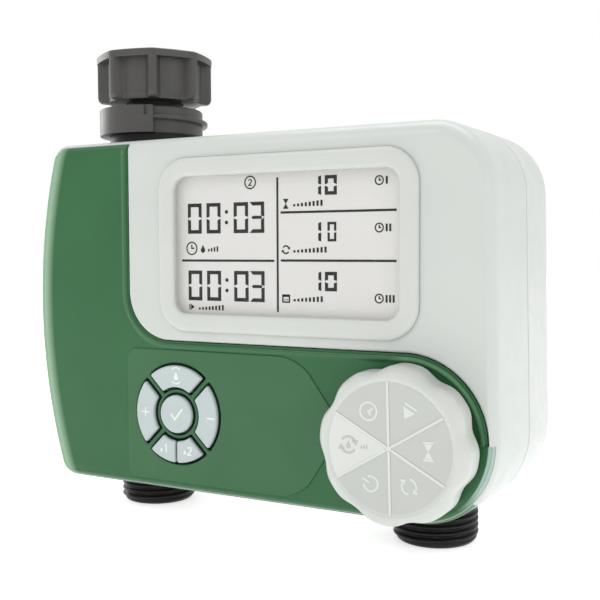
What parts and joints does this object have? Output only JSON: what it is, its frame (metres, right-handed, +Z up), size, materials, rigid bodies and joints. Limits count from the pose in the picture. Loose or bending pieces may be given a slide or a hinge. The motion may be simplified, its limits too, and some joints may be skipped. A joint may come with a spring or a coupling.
{
  "type": "drip irrigation timer",
  "caption": "Battery irrigation timer with a display, ring keypad, lobed selector knob, threaded inlet nut on top and threaded outlets below.",
  "frame": {"origin": "bottom centre of the bounding box, in the plane of the outlets' end faces", "axes": "+Z up, -Y is the side with the display and controls, +X is to the right when facing the display"},
  "size_m": [0.1685, 0.07, 0.1585],
  "materials": {
    "green_shell": "moulded green plastic, fine satin gloss",
    "white_shell": "moulded off-white plastic, satin gloss",
    "display_bezel": "moulded off-white plastic, satin gloss",
    "display_lens": "clear acrylic window",
    "lcd": "grey reflective liquid crystal panel",
    "light_guide": "white light guide",
    "rubber": "black moulded rubber",
    "knob": "moulded light grey plastic, satin",
    "moulded": "glass-filled moulded plastic",
    "circuit_board": "green circuit board",
    "charcoal": "moulded dark grey plastic, satin",
    "black_fitting": "moulded black plastic",
    "steel": "plain steel",
    "keys": "moulded pale grey keys",
    "winding": "varnished copper winding on a bobbin",
    "lead_sleeve": "black lead insulation",
    "cell_sleeve": "plain blue cell sleeve"
  },
  "bodies": {
    "case": {"battery_1": "cell_sleeve", "battery_2": "cell_sleeve", "battery_tray": "black_fitting", "bonnet_1": "moulded", "bonnet_2": "moulded", "case_screw_1": "steel", "case_screw_2": "steel", "case_screw_3": "steel", "case_screw_4": "steel", "coil_lead_1": "lead_sleeve", "coil_lead_2": "lead_sleeve", "contact_plate_left": "steel", "contact_plate_right": "steel", "contact_spring_1": "steel", "contact_spring_2": "steel", "diaphragm_1": "rubber", "diaphragm_2": "rubber", "display_housing": "white_shell", "door_seal": "rubber", "filter_screen": "steel", "front_cover": "green_shell", "inlet_collar": "charcoal", "inlet_pipe": "moulded", "inlet_spigot": "black_fitting", "inlet_washer": "rubber", "keypad_mat": "rubber", "keypad_plate": "green_shell", "knob_seal": "rubber", "lcd_backlight": "light_guide", "lcd_bezel": "display_bezel", "lcd_panel": "lcd", "lcd_window": "display_lens", "main_board": "circuit_board", "outlet_1": "black_fitting", "outlet_2": "black_fitting", "outlet_seal_1": "rubber", "outlet_seal_2": "rubber", "pipe_seal": "rubber", "plunger_spring_1": "steel", "plunger_spring_2": "steel", "rear_shell": "white_shell", "rotary_switch": "moulded", "solenoid_coil_1": "winding", "solenoid_coil_2": "winding", "solenoid_frame_1": "steel", "solenoid_frame_2": "steel", "valve_manifold": "moulded"},
    "selector": {"selector_knob": "knob", "knob_spindle": "moulded"},
    "nut": {"inlet_nut": "charcoal"},
    "door": {"battery_door": "white_shell"},
    "plunger_body_1": {"plunger_1": "steel"},
    "plunger_body_2": {"plunger_2": "steel"},
    "button_manual_key": {"button_manual": "keys"},
    "button_minus_key": {"button_minus": "keys"},
    "button_ok_key": {"button_ok": "keys"},
    "button_plus_key": {"button_plus": "keys"},
    "button_zone_1_key": {"button_zone_1": "keys"},
    "button_zone_2_key": {"button_zone_2": "keys"}
  },
  "joints": [
    {"name": "selector_turn", "type": "hinge", "parent": "case", "child": "selector", "pos_m": [0.0558, -0.0235, 0.0356], "axis": [0, 1, 0], "continuous": true},
    {"name": "nut_turn", "type": "hinge", "parent": "case", "child": "nut", "pos_m": [-0.052, 0.0045, 0.1422], "axis": [0, 0, 1], "continuous": true},
    {"name": "battery_door_hinge", "type": "hinge", "parent": "case", "child": "door", "pos_m": [0.037, 0.0341, 0.0729], "axis": [-1, 0, 0], "range_deg": [0, 90]},
    {"name": "button_manual_press", "type": "slide", "parent": "case", "child": "button_manual_key", "axis": [0, 1, 0], "range_m": [0, 0.0008], "stiffness_N_per_m": 600, "springref_m": -0.0005},
    {"name": "button_minus_press", "type": "slide", "parent": "case", "child": "button_minus_key", "axis": [0, 1, 0], "range_m": [0, 0.0008], "stiffness_N_per_m": 600, "springref_m": -0.0005},
    {"name": "button_ok_press", "type": "slide", "parent": "case", "child": "button_ok_key", "axis": [0, 1, 0], "range_m": [0, 0.0008], "stiffness_N_per_m": 600, "springref_m": -0.0005},
    {"name": "button_plus_press", "type": "slide", "parent": "case", "child": "button_plus_key", "axis": [0, 1, 0], "range_m": [0, 0.0008], "stiffness_N_per_m": 600, "springref_m": -0.0005},
    {"name": "button_zone_1_press", "type": "slide", "parent": "case", "child": "button_zone_1_key", "axis": [0, 1, 0], "range_m": [0, 0.0008], "stiffness_N_per_m": 600, "springref_m": -0.0005},
    {"name": "button_zone_2_press", "type": "slide", "parent": "case", "child": "button_zone_2_key", "axis": [0, 1, 0], "range_m": [0, 0.0008], "stiffness_N_per_m": 600, "springref_m": -0.0005},
    {"name": "plunger_lift_1", "type": "slide", "parent": "case", "child": "plunger_body_1", "axis": [0, 0, 1], "range_m": [0, 0.0018], "stiffness_N_per_m": 60, "springref_m": -0.003, "deforming": ["plunger_spring_1"]},
    {"name": "plunger_lift_2", "type": "slide", "parent": "case", "child": "plunger_body_2", "axis": [0, 0, 1], "range_m": [0, 0.0018], "stiffness_N_per_m": 60, "springref_m": -0.003, "deforming": ["plunger_spring_2"]}
  ]
}
